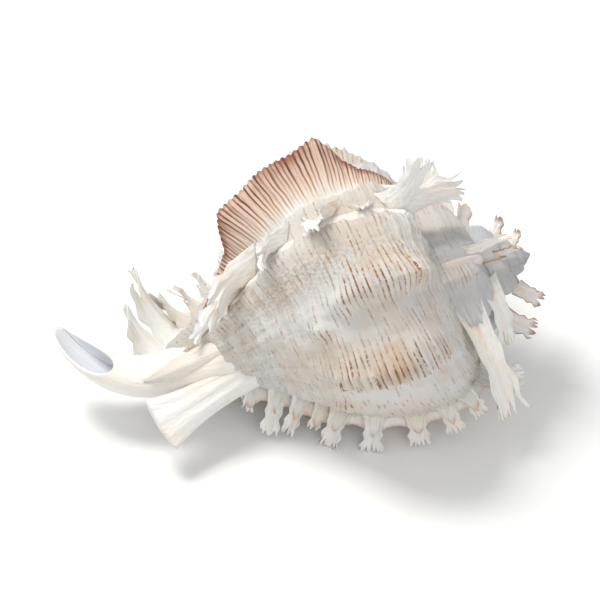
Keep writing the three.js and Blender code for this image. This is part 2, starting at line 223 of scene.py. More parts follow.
# ---- Pose and mesh making ----
@dataclass(frozen=True)
class Rest:
    """How the shell lies: raised at the apex, rolled onto its mouth, and where that puts the apex."""

    axis_tilt: float = 17.0
    roll: float = 46.0
    pitch: float = 2.6
    apex: tuple[float, float, float] = (85.94, -6.49, 50.92)

    def matrix(self) -> Array:
        """Rotation from the shell's frame to the resting one: the tilt, then the roll, then the pitch."""
        e = math.radians(self.roll)
        roll = np.array([[1, 0, 0], [0, math.cos(e), math.sin(e)], [0, -math.sin(e), math.cos(e)]])
        return self.raised(self.pitch) @ roll @ self.raised(self.axis_tilt)

    @staticmethod
    def raised(degrees: float) -> Array:
        """Rotation about Y that raises the apex end by that much."""
        a = math.radians(degrees)
        return np.array([[math.cos(a), 0, -math.sin(a)], [0, 1, 0], [math.sin(a), 0, math.cos(a)]])

    def apply(self, points: Array, lowest: float = 0.0) -> Array:
        """Shell-frame millimetres to resting-frame metres, worn flat at the lowest height allowed."""
        placed = points @ self.matrix().T + np.array(self.apex)
        placed[..., 2] = np.maximum(placed[..., 2], lowest)
        return placed * MM


REST = Rest()


@dataclass
class Patchwork:
    """Grids gathered into one mesh, with a pattern map and painted weights on every point.

    Points lower than lowest, in millimetres above the floor, are worn flat there.
    """

    name: str
    paints: tuple[str, ...] = ()
    lowest: float = 0.0
    points: list = field(default_factory=list)
    faces: list = field(default_factory=list)
    maps: list = field(default_factory=list)
    weights: dict = field(default_factory=dict)
    count: int = 0

    def add(self, grid: Array, uv: Array, ring: bool = False, ends: bool = False,
            **paint: float | Array) -> None:
        """Adds a grid of points as quads.

        Args:
            grid: points (rows, columns, 3), in the shell's frame.
            uv: pattern coordinates (rows, columns, 2), in millimetres.
            ring: the columns close on themselves.
            ends: the first and last rows are closed, by joining a flattened ring's two sides.
            paint: weights by name, a number or (rows, columns); a name left out is 0.
        """
        rows, cols = grid.shape[:2]
        index = np.arange(rows * cols).reshape(rows, cols) + self.count
        wide = np.concatenate([index, index[:, :1]], 1) if ring else index
        quads = [np.stack([wide[:-1, :-1], wide[:-1, 1:], wide[1:, 1:], wide[1:, :-1]], -1).reshape(-1, 4)]
        if ends:
            half = cols // 2
            for row, flip in ((index[0], False), (index[-1], True)):
                front, back = row[:half], row[::-1][:half]
                cap = np.stack([front[:-1], back[:-1], back[1:], front[1:]], -1)
                quads.append(cap[:, ::-1] if flip else cap)
        self.points.append(grid.reshape(-1, 3))
        self.faces.append(np.concatenate(quads))
        self.maps.append(np.broadcast_to(uv, (rows, cols, 2)).reshape(-1, 2))
        for key in self.paints:
            value = np.broadcast_to(paint.get(key, 0.0), (rows, cols)).ravel()
            self.weights.setdefault(key, []).append(value)
        self.count += rows * cols

    def build(self, material: Material, slot: str = "shell") -> None:
        """Makes the piece, dresses it and ties it to the shell's solid.

        Args:
            material: finish of the whole piece.
            slot: not used.
        """
        points = REST.apply(np.concatenate(self.points), self.lowest)
        faces = np.concatenate(self.faces)
        mesh = bpy.data.meshes.new(self.name)
        mesh.vertices.add(len(points))
        mesh.vertices.foreach_set("co", points.astype(np.float32).ravel())
        mesh.loops.add(faces.size)
        mesh.loops.foreach_set("vertex_index", faces.astype(np.int32).ravel())
        mesh.polygons.add(len(faces))
        mesh.polygons.foreach_set("loop_start", np.arange(0, faces.size, 4, dtype=np.int32))
        mesh.polygons.foreach_set("use_smooth", np.ones(len(faces), bool))
        layer = mesh.uv_layers.new(name="coil")
        layer.data.foreach_set("uv", np.concatenate(self.maps)[faces.ravel()].astype(np.float32).ravel())
        for key, parts in self.weights.items():
            paint = mesh.attributes.new(key, "FLOAT", "POINT")
            paint.data.foreach_set("value", np.concatenate(parts).astype(np.float32))
        mesh.update(calc_edges=True)
        mesh.validate()
        mesh.materials.append(material)
        piece = bpy.data.objects.new(self.name, mesh)
        bpy.context.scene.collection.objects.link(piece)
        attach(piece, "root")
        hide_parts(NODE)
        LOG.info("%s: %d points, %d faces", self.name, len(points), len(faces))


# ---- The whorls ----
@dataclass(frozen=True)
class Relief:
    """Sculpture of the whorls: spiral cords, thickened ribs (varices), and nodes between them."""

    rib_step: float = 123.0
    cord_pitch: float = 6.6
    thread_pitch: float = 2.2
    cord_height: float = 0.75
    thread_height: float = 0.34
    rib_height: float = 4.0
    # nodes: (share of the way from rib to rib, arc, half width, height)
    nodes: tuple = ((0.22, 46.0, 20.0, 10.0), (0.545, 58.0, 23.0, 15.0))
    # knobs: (growth angle, arc)
    knobs: tuple = ((-153.0, 66.0), (-161.0, 79.0), (-210.0, 84.0), (-30.0, 80.0))
    knob_height: float = 4.8
    # fades: (growth angle, half width, share taken away)
    mouth_fade: tuple = (-312.0, 48.0, 0.85)
    ruffle_fade: tuple = (-64.0, 30.0, 0.55)
    glaze_fade: tuple = (-300.0, 42.0, 0.9)
    shown: tuple = (1.0, 8.0, 140.0, 150.0)  # arcs between which the sculpture comes and goes

    def cords(self, arc: Array) -> Array:
        """Raised cords with finer threads between: powers of a raised cosine across the section."""
        cord = (0.5 + 0.5 * np.cos(2 * math.pi * arc / self.cord_pitch)) ** 1.5
        thread = (0.5 + 0.5 * np.cos(2 * math.pi * arc / self.thread_pitch)) ** 1.2
        return self.cord_height * cord + self.thread_height * thread

    @staticmethod
    def faded(g: Array, fade: tuple[float, float, float]) -> Array:
        """Share left at growth angle g by a fade."""
        place, width, share = fade
        return 1.0 - share * bump(g, place, width)

    def nodule(self, g: Array, arc: Array) -> Array:
        """Broad nodes between ribs: bells repeated at each rib step, steeper behind than ahead.

        They are glazed over beside the mouth, and low behind the ruffle.
        """
        past = np.mod(-g, self.rib_step) / self.rib_step
        total = np.zeros(np.broadcast(g, arc).shape)
        for place, centre, width, height in self.nodes:
            wave = bump(past, place, np.where(past > place, 0.038, 0.105))
            crown = np.exp(-np.abs((arc - centre) / width) ** 4)
            total = total + height * wave * crown
        return total * self.faded(g, self.mouth_fade) * self.faded(g, self.ruffle_fade)

    def ridge(self, g: Array) -> Array:
        """Swelling at each rib: a bell, 10 degrees wide behind and 4 ahead."""
        past = np.mod(-g + self.rib_step / 2, self.rib_step) - self.rib_step / 2
        return bump(past, 0.0, np.where(past > 0, 10.0, 4.0))

    def lift(self, g: Array, t: Array) -> Array:
        """Height of the sculpture above the plain outline, in millimetres."""
        arc = OUTLINE.arc(t)
        shown = smooth(*self.shown[:2], arc) * (1.0 - smooth(*self.shown[2:], arc))
        waves = 1.5 * ripple(g / 8.0, arc / 10.0, 0.7) + 0.4 * ripple(g / 2.6, arc / 3.4, 2.1)
        past = np.mod(-g, self.rib_step)
        hollow = 2.2 * bump(past, 17.0, 8.0) * bump(arc, 88.0, 34.0)
        folds = 0.45 * ripple(g / 1.5, arc / 24.0, 4.0) * smooth(-420.0, -380.0, g) - hollow
        height = (self.cords(arc) + folds + waves) * self.faded(g, self.glaze_fade)
        height = height + self.nodule(g, arc) * (0.86 + 0.14 * np.cos(2 * math.pi * arc / 3.3))
        height = height + self.rib_height * self.ridge(g) * smooth(4.0, 22.0, arc)
        for place, centre in self.knobs:
            height = height + self.knob_height * bump(g, place, 4.2) * bump(arc, centre, 4.6)
        return height * shown * COIL.scale(g)


RELIEF = Relief()


@dataclass
class Whorls:
    """The outer wall: the last whorl and a little more as one sheet, and the spire as another."""

    body_from: float = -398.0
    spire_from: float = -3000.0
    lip: float = -0.5
    under_glaze: float = 0.6  # height at which the wall is worn flat, above the glaze that covers it
    full_node: float = 6.6  # height of a node that is streaked all over

    def sheet(self, name: str, start: float, end: float, rows: int, cols: int, t_end: float) -> Patchwork:
        """Sheet over growth angle and section: outline raised by the relief along its normal.

        Args:
            name: name of the piece.
            start: growth angle of the first row.
            end: growth angle of the last row.
            rows: points along growth.
            cols: points across the section, from t_end up to the suture.
            t_end: place along the section where the sheet ends.
        """
        arc = np.linspace(0.0, float(OUTLINE.arc(t_end)), cols)[None, ::-1]
        g, t = np.broadcast_arrays(np.linspace(start, end, rows)[:, None], OUTLINE.station_at(arc))
        along = MAP_RADIUS * np.cumsum(COIL.scale(g) * math.radians((end - start) / rows), 0)
        uv = np.stack([along, OUTLINE.arc(t)], -1)
        work = Patchwork(name, ("dirt_and_shade", "streak", "old"), self.under_glaze)
        work.add(OUTLINE.point(g, t, RELIEF.lift(g, t)), uv, **self.paint(g, t))
        return work

    def paint(self, g: Array, t: Array) -> dict[str, Array]:
        """Weights: dirt and painted shade at the suture and before the ribs, streaks on raised places, age
        to the apex.
        """
        arc = OUTLINE.arc(t)
        node = RELIEF.nodule(g, arc) / self.full_node
        knob = sum(bump(g, a, 4.0) * bump(arc, b, 4.5) for a, b in RELIEF.knobs)
        old = 1.0 - smooth(-620.0, -370.0, g)
        streak = np.clip(1.2 * node + 1.5 * knob + 0.25 * RELIEF.ridge(g), 0, 1) * (1.0 - 0.8 * old)
        # The suture and the hollow behind each rib are marked for ochre dirt and painted shade.
        seam = 1.0 - smooth(3.0, 10.0, arc)
        below = RELIEF.ridge(g + 9.0) * bump(arc, 82.0, 36.0)
        dirt_and_shade = np.clip(seam + 0.9 * below, 0, 1)
        return {"dirt_and_shade": dirt_and_shade, "streak": streak, "old": old}

    def build(self, finish: "Finish") -> None:
        """Makes both sheets."""
        body = self.sheet("body_whorl", self.body_from, self.lip, 385, 240, float(OUTLINE.last))
        spire = self.sheet("spire", self.spire_from, self.body_from + 2.0, 780, 110, 6.0)
        body.build(finish.made(finish.outer_wall))
        spire.build(finish.made(finish.outer_wall))


# ---- Ribs: frilled flanges and fronds ----
@dataclass(frozen=True)
class Flange:
    """A frilled edge standing out of the whorl along the whole section.

    Its foot reaches back over rise degrees of growth, and its edge bends back by lean degrees.
    """

    g: float
    heights: tuple  # (arc, height) pairs
    rise: float = 14.0
    lean: float = 0.0
    pleat: float = 0.35
    pleat_pitch: float = 2.2
    columns: int = 260
    back_rows: int = 18
    front_rows: int = 10
    map_start: float = 300.0  # keeps its pattern off the whorl's

    def height(self, arc: Array) -> Array:
        """Height over the section: through the given pairs, scalloped by the pleats."""
        places, heights = np.array(self.heights).T
        h = np.interp(arc, places, heights)
        return h * (1.0 + 0.05 * np.abs(np.sin(math.pi * arc / self.pleat_pitch)))

    def loop(self, arc: Array) -> tuple[Array, Array, Array]:
        """Cross-section as a loop: up the back, over the edge and down the front.

        Args:
            arc: lengths along the section at which it is drawn.

        Returns:
            growth angle offsets, lifts and the share of the height, each (rows, columns).
        """
        up = np.linspace(0.0, 1.0, self.back_rows)[:, None]
        down = np.linspace(1.0, 0.0, self.front_rows)[1:, None]
        h = self.height(arc)[None, :]
        wave = self.pleat * np.sin(2 * math.pi * arc / self.pleat_pitch)[None, :]
        back = -self.rise * (1.0 - up) ** 0.8 - self.lean * up**2
        back_lift = h * up**2.2 - 0.5 * (1.0 - up)
        front = 0.9 - 0.9 * down**3 - self.lean * down**2 + 0.3
        front_lift = h * down**1.3 - 1.5 * (1.0 - down)
        turn = np.concatenate([back + wave * up**2, front + wave * down**2])
        lift = np.concatenate([back_lift, front_lift])
        share = np.concatenate([up, down]) * np.ones_like(lift)
        return turn, lift, share

    def add_to(self, work: Patchwork, **paint: float) -> None:
        """Adds the flange, as a closed ring carried along the section."""
        places = np.array(self.heights)[:, 0]
        arc = np.linspace(places[0], places[-1], self.columns)
        turn, lift, share = self.loop(arc)
        t = OUTLINE.station_at(arc)[None, :]
        g = self.g + turn
        grid = OUTLINE.point(g, t, lift + RELIEF.lift(g, t) * (1.0 - share))
        along = MAP_RADIUS * np.radians(turn) + self.map_start
        uv = np.stack([along, np.broadcast_to(arc, lift.shape)], -1)
        grid, uv = np.moveaxis(grid, 0, 1), np.moveaxis(uv, 0, 1)
        work.add(grid, uv, ring=True, ends=True, height=share.T, **paint)


@dataclass(frozen=True)
class Frond:
    """A hollow, guttered spine with a frilled edge and a fingered tip."""

    root: Array
    middle: Array
    tip: Array
    front: Array  # side on which the gutter opens
    width: float
    root_width: float
    splay: float = 1.5
    fingers: int = 3
    notch: float = 0.22
    gutter: float = 0.8
    thickness: float = 1.1
    teeth: float = 0.34
    flare: float = 0.22
    seed: float = 0.0
    rows: int = 36
    columns: int = 27

    def line(self, u: Array) -> tuple[Array, Array]:
        """Middle line and its direction: a quadratic curve from root through middle to tip."""
        a, b, c, u = self.root, self.middle, self.tip, u[..., None]
        place = (1 - u) ** 2 * a + 2 * u * (1 - u) * b + u**2 * c
        return place, unit(2 * (1 - u) * (b - a) + 2 * u * (c - b))

    def add_to(self, work: Patchwork, **paint: float) -> None:
        """Adds the frond as a closed ring of two sheets.

        Half width: flared root + waist + a splay at the tip, with saw teeth along the edge.
        Height of the gutter's sides: gutter * half width * v^2, on the front. Each column ends
        where the row of uneven fingers ends: length * (1 - notch * (1 - |cos|^0.8)).

        Args:
            work: mesh it is added to.
            paint: weights other than height, groove and rim.
        """
        v = np.linspace(-1.0, 1.0, self.columns)
        warped = v + 0.13 * math.sin(self.seed) + 0.14 * np.sin(3.1 * v + 2.0 * self.seed)
        finger = np.abs(np.cos(0.5 * math.pi * self.fingers * warped))
        notch = self.notch * (0.65 + 0.8 * np.abs(np.sin(1.9 * v + self.seed)))
        reach = 1.0 - notch * (1.0 - finger**0.8) - 0.05 * v**2
        u = np.linspace(0.0, 1.0, self.rows)[:, None] * reach[None, :]
        place, ahead = self.line(u)
        front = unit(self.front - (ahead @ self.front)[..., None] * ahead)
        side = np.cross(ahead, front)
        tooth = 2.0 * np.abs(np.mod(u * 3.4 + 0.3 * self.seed, 1.0) - 0.5) - 0.5
        root = (self.root_width - self.width) * (1.0 - u) ** 3
        half = 0.5 * (self.width * (1.0 + (self.splay - 1.0) * u**2.2) + root)
        half = half * (1.0 + self.teeth * tooth * v**2 * smooth(0.2, 0.55, u))
        curl = self.gutter * half * v**2 * (1.0 - 0.55 * u)
        wave = half * u * (0.05 * np.sin(9.0 * v + 5.0 * u + self.seed) + 0.05 * np.cos(21.0 * v))
        back_off = self.flare * self.width * u**4 * (1.0 + 0.5 * np.cos(math.pi * self.fingers * v))
        middle = place + side * (half * v)[..., None] + front * (curl + wave - back_off)[..., None]
        body = np.maximum(self.thickness * (1.0 - 0.62 * u) * (1.0 - 0.75 * v**2), 0.22)
        top = middle + front * (0.3 * body)[..., None]
        under = middle - front * (0.7 * body)[..., None]
        grid = np.concatenate([top, under[:, ::-1]], 1)
        wide = np.concatenate([v, v[::-1]])[None, :] * np.ones((self.rows, 1))
        along = np.concatenate([u, u[:, ::-1]], 1)
        length = float(np.linalg.norm(self.tip - self.root))
        uv = np.stack([along * length, wide * 0.5 * self.width + 9.0 * self.seed], -1)
        groove = np.concatenate([np.ones_like(u), np.zeros_like(u)], 1) * bump(wide, 0.0, 0.22)
        work.add(grid, uv, ring=True, ends=True, height=along, groove=groove, rim=wide**8, **paint)


@dataclass(frozen=True)
class Spine:
    """Where a frond stands on a rib, and how it is drawn out.

    It bends back against growth by lean and towards the canal by sweep, in degrees.
    """

    arc: float
    length: float
    width: float
    lean: float = 25.0
    sweep: float = 10.0
    fingers: int = 3
    splay: float = 1.5
    root: float = 1.9  # width at the root, in widths
    notch: float = 0.22
    sunk: float = 1.5  # depth of the root under the rib

    def frond(self, g: float, size: float, seed: float) -> Frond:
        """The frond on the rib at growth angle g, drawn to that size: it leaves along the normal."""
        t = float(OUTLINE.station_at(self.arc))
        normal = OUTLINE.normal(g, t)
        ahead = COIL.forward(g)
        along = np.cross(ahead, normal)
        along = along if along[0] < 0 else -along
        lean, sweep = math.radians(self.lean), math.radians(self.sweep)
        aim = math.cos(lean) * math.cos(sweep) * normal - math.sin(lean) * ahead + math.sin(sweep) * along
        aim = unit(aim)
        length = self.length * size
        root = OUTLINE.point(g, t, RELIEF.rib_height * size * 0.3 - self.sunk * size)
        middle = root + unit(normal * 1.2 + aim * 0.5) * length * 0.55
        tip = root + aim * (length + self.sunk * size)
        return Frond(
            root=root, middle=middle, tip=tip, front=ahead,
            width=self.width * size, root_width=self.width * size * self.root,
            splay=self.splay, fingers=self.fingers, notch=self.notch,
            thickness=1.2 * size**0.5, seed=seed,
        )


def spines(*rows: tuple) -> tuple[Spine, ...]:
    """A spine from each row: arc, length, width, lean, sweep, fingers, splay, root and notch."""
    return tuple(Spine(*row) for row in rows)


@dataclass(frozen=True)
class Rib:
    """One varix: a frilled flange with its row of fronds."""

    g: float
    flange: Flange
    spines: tuple[Spine, ...]
    dark_rims: float = 0.0

    def add_to(self, work: Patchwork, **paint: float) -> None:
        """Adds the flange, then each frond, drawn to the coil's size at this rib."""
        self.flange.add_to(work, **paint)
        size = float(COIL.scale(self.g))
        for number, spine in enumerate(self.spines):
            frond = spine.frond(self.g, size, seed=1.0 + 1.7 * number)
            frond.add_to(work, **{**paint, "edge": self.dark_rims})


def webbed(base: float, peaks: tuple, ends: tuple = (4.0, 156.0), reach: float = 4.5) -> tuple:
    """Flange heights: a base height with a cusp at each peak, as a web hangs between spines.

    Height = base + sum of rise * exp(-distance / reach), run out to nothing at both ends.
    """
    arc = np.linspace(ends[0], ends[1], 120)
    height = base + sum(rise * np.exp(-np.abs(arc - place) / reach) for place, rise in peaks)
    height = height * smooth(ends[0], ends[0] + 9.0, arc) * (1.0 - smooth(ends[1] - 9.0, ends[1], arc))
    return tuple(zip(arc.tolist(), height.tolist()))


@dataclass
class Ribs:
    """All the varices of the last whorl and the spire."""

    lip_spines: tuple = spines(
        (26, 35, 9.5, 34, 4, 4, 1.8, 1.9, 0.2),
        (46, 19, 5.5, 40, 4, 3, 1.7, 2),
        (65, 21, 7, 40, 8, 4, 1.7, 2),
        (84, 22, 7.5, 42, 14, 5, 1.7, 2),
        (97, 22, 8.5, 42, 20, 4, 1.8, 2),
        (107, 23, 8.5, 44, 24, 4, 1.8, 2),
        (117, 26, 9, 48, 24, 3, 1.7, 2.2),
        (128, 37, 9.5, 56, 6, 2, 1.5, 2.6),
        (141, 27, 10.5, 56, 14, 2, 1.3, 2.6),
    )
    fringe_spines: tuple = spines(
        (25, 30, 8.5, -8, 8, 3, 1.6, 2.4, 0.18),
        (21, 29, 14, -16, -34, 5, 1.2, 1.8, 0.18),
        (43, 7, 5, 30, 6, 3, 1.6, 2.6),
        (60, 16, 10, 44, 12, 5, 1.6, 2),
        (80, 17, 10, 44, 20, 5, 1.6, 2),
        (101, 23, 14, 38, 32, 5, 1.4, 2, 0.12),
        (112, 20, 9, 34, 44, 3, 1.3, 2.2, 0.12),
        (128, 13, 6, 35, 44, 2, 1.2, 2.6),
    )
    under_spines: tuple = spines(
        (24, 27, 12, -4, -10, 6, 1.6, 1.6, 0.16),
        (38, 17, 7.5, 4, -4, 4, 1.7, 1.7),
        (49, 19, 7.5, 2, 0, 6, 1.8, 1.7),
        (62, 20, 8.5, 6, 2, 5, 1.9, 1.7),
        (77, 22, 8, 2, 4, 7, 2, 1.7),
        (92, 24, 8, 5, 4, 6, 1.9, 1.7),
        (101, 16, 5.5, 2, 6, 3, 1.5, 1.8),
        (111, 24, 6.5, 6, 4, 3, 1.7, 1.9),
        (122, 27, 7.5, 2, 2, 3, 1.7, 1.9, 0.12),
        (134, 15, 5.5, 4, 6, 2, 1.3, 2),
    )

    def columns(self) -> tuple[Frond, ...]:
        """Thick fronds that stand on the ramp, over the suture.

        Returns:
            a frond from each row: root, middle, tip, front, width, root width, splay and fingers.
        """
        rows = (
            ((-30, -19, -10), (-25, -24, -34), (-26, -9, -56), (0.3, -1, 0), 7.0, 12.0, 2.0, 5),
            ((-27, 20, 13), (-26, 26, 26), (-22, 22, 38), (0, -1, 0.2), 5.5, 13.0, 1.6, 3),
            ((-20, -16, -4), (-16, -20, -17), (-20, -7, -30), (0.3, -1, 0), 5.0, 9.0, 1.9, 3),
        )
        return tuple(
            Frond(*np.array(row[:4], float), *row[4:], thickness=1.6, seed=2.0 + row[4]) for row in rows
        )

    def build(self, finish: "Finish") -> None:
        """Makes the lip, the striped fringe, the two other ribs of the last whorl and the spire's ribs."""
        lip = Patchwork("lip_fronds", PAINTS)
        webs = tuple((spine.arc, 4.0 + 0.08 * spine.arc) for spine in self.lip_spines)
        edge = Flange(-1.0, webbed(5.0, webs, (3.0, 152.0)), 15.0, 6.0)
        Rib(-1.0, edge, self.lip_spines).add_to(lip, dirt_and_shade=0.15)
        lip.build(finish.made(finish.frond))

        fringe = Patchwork("striped_fringe", PAINTS)
        heights = ((12.0, 1.0), (38.0, 2.5), (44.0, 6.0), (52.0, 17.0), (60.0, 14.0), (71.0, 15.0),
                   (79.0, 14.0), (88.0, 16.0), (94.0, 12.0), (101.0, 6.0), (115.0, 4.0), (136.0, 1.0))
        Flange(-93.0, heights, 15.0, 0.0, 0.5, 2.0, 420).add_to(fringe, stripe=1.0)
        fringe.build(finish.made(finish.frond))

        rows = Patchwork("rib_fronds", PAINTS)
        plain = webbed(1.0, tuple((spine.arc, 2.0) for spine in self.fringe_spines), (6.0, 140.0))
        Rib(-116.0, Flange(-116.0, plain, 12.0, 4.0), self.fringe_spines).add_to(rows, dirt_and_shade=0.4)
        frill = webbed(3.0, tuple((spine.arc, 6.0) for spine in self.under_spines), (1.0, 148.0), 3.6)
        Rib(-244.0, Flange(-244.0, frill, 13.0, 0.0), self.under_spines).add_to(rows, dirt_and_shade=0.5, edge=0.55)
        for frond in self.columns():
            frond.add_to(rows, dirt_and_shade=0.3)
        rows.build(finish.made(finish.frond))

        self.spire(finish)

    def spire(self, finish: "Finish") -> None:
        """The older ribs: a short frill over the ramp and a shoulder frond, smaller in each turn."""
        work = Patchwork("spire_fronds", PAINTS)
        shoulder = (
            (-369, (26, 30, 11, 30, -6, 3, 1.5, 1.9)),
            (-503, (26, 40, 13, -8, -30, 2, 1.2, 1.9)),
            (-615, (26, 42, 18, 0, -8, 4, 1.4, 1.5)),
            (-738, (26, 42, 16, 20, -10, 3, 1.2, 1.8)),
            (-866, (26, 46, 22, 0, -14, 3, 1.3, 1.5)),
            (-978, (26, 70, 30, 0, -4, 3, 1.3, 1.3)),
            (-1100, (26, 60, 26, 10, -12, 3, 1.1, 1.5)),
        )
        for g, row in shoulder:
            k = float(COIL.scale(g))
            heights = webbed(4.0 * k, ((26.0, 7.0 * k), (42.0, 2.0 * k)), (3.0, 55.0))
            rim = 0.35 if g > -600.0 else 1.0  # the oldest ribs are darkest
            rib = Rib(g, Flange(g, heights, 13.0, 2.0, 0.3, 3.0, 60, 10, 6), spines(row), rim)
            rib.add_to(work, dirt_and_shade=0.5, edge=0.9 * rim)
        work.build(finish.made(finish.frond))


# ---- Canals ----
class End(Enum):
    """How a horn ends, with the share of its length over which it closes: a scoop stays open."""

    SCOOP = 0.0
    BLUNT = 0.03
    POINT = 0.35


@dataclass(frozen=True)
class Horn:
    """A bent, flattened horn: the canal, and the ends of canals the shell has left behind."""

    path: tuple  # (s, y, z) control points
    widths: tuple  # half widths, then half depths, at the control points
    depths: tuple
    wide: tuple  # direction of the width
    end: End
    ridges: int = 0
    rows: int = 90
    columns: int = 64
    wall: float = 1.6
    cut: float = 0.28  # share of a scoop that is cut away, most at the slant's turn
    slant: float = 3.9
    hollow: float = 0.62  # share of the path from which a scoop is hollow
    rim: tuple = (0.1, 0.35, 0.8)  # how far its last rows turn in

    def curve(self, values: Array, u: Array) -> Array:
        """Bezier blend of the control values at u, by repeated halfway lines."""
        layer = [value * np.ones_like(u)[..., None] for value in values]
        while len(layer) > 1:
            layer = [(1 - u)[..., None] * a + u[..., None] * b for a, b in zip(layer[:-1], layer[1:])]
        return layer[0]

    def add_to(self, work: Patchwork) -> None:
        """Adds the horn as a ring of columns carried along its path.

        Section: half width * cos on the wide axis and half depth * sin across it. A scoop is cut
        short on its upper side, turns in over its rim and runs back as a hollow.
        """
        points = np.array([(-s, y, z) for s, y, z in self.path])
        turn = np.linspace(0, 2 * math.pi, self.columns, endpoint=False)[None, :]
        run, shell = np.linspace(0.0, 1.0, self.rows), np.zeros(self.rows)
        inset, cut = shell, 0.0
        if self.end is End.SCOOP:
            back = np.linspace(1.0, self.hollow, self.rows // 2)[1:]
            inset = np.concatenate([shell[len(self.rim) :], self.rim, self.wall * np.ones(len(back))])
            closing = np.concatenate([np.ones(self.rows), np.sqrt(np.linspace(1.0, 0.0, len(back)))])
            run, shell = np.concatenate([run, back]), np.concatenate([shell, np.ones(len(back))])
            cut = self.cut * (0.5 + 0.5 * np.cos(turn - self.slant)) ** 1.5
        else:
            closing = np.sqrt(np.clip((1.0 - run) / self.end.value, 0.0, 1.0))
        u = run[:, None] * (1.0 - cut * run[:, None] ** 2) * np.ones_like(turn)
        place, nudge = self.curve(points, u), 1e-3
        ahead = unit(self.curve(points, u + nudge) - self.curve(points, u - nudge))
        wide = np.array(self.wide)
        wide = unit(wide - (ahead @ wide)[..., None] * ahead)
        deep = np.cross(ahead, wide)
        half = self.curve(np.array(self.widths)[:, None], u)[..., 0]
        depth = self.curve(np.array(self.depths)[:, None], u)[..., 0]
        inset, closing = inset[:, None], closing[:, None]
        ribbing = 1.0 + (0.1 * np.cos(self.ridges * turn) if self.ridges else 0.0) * np.minimum(1.0, 2 * u)
        across = (half - inset) * closing * np.cos(turn)
        over = (depth - inset * 0.8) * closing * np.sin(turn) * ribbing
        grid = place + wide * across[..., None] + deep * over[..., None]
        uv = np.stack([u * 70.0, turn * 9.0 * np.ones_like(u)], -1)
        work.add(grid, uv, ring=True, inside=shell[:, None])


@dataclass
class Canals:
    """The siphonal canal and the two old canals beside it."""

    canal: Horn = Horn(
        ((104, -1, 2), (124, -3, 1), (142, -5, 0), (156, -6, 0), (168, -7, 8), (175, -9, 31)),
        (17, 14, 12, 11.5, 11, 7), (11, 9, 7.5, 7, 7, 4), (0.0, 0.93, 0.37), End.SCOOP)
    blunt: Horn = Horn(
        ((104, -4, -4), (122, -12, -10), (138, -18, -13), (151, -22, -16)),
        (9, 5, 6, 11.5), (7, 4, 3, 2.2), (0.0, 0.1, 1.0), End.BLUNT, 9)
    spur: Horn = Horn(
        ((104, -6, 4), (125, -13, 3), (140, -17, 1), (151, -19, 1)),
        (7, 5.5, 4, 2.4), (6, 4, 2.8, 1.8), (0.0, -0.4, 1.0), End.POINT, 5)

    def build(self, finish: "Finish") -> None:
        """Makes the three horns as one piece."""
        work = Patchwork("canals", ("inside",))
        for horn in (self.canal, self.blunt, self.spur):
            horn.add_to(work)
        work.build(finish.made(finish.canal))


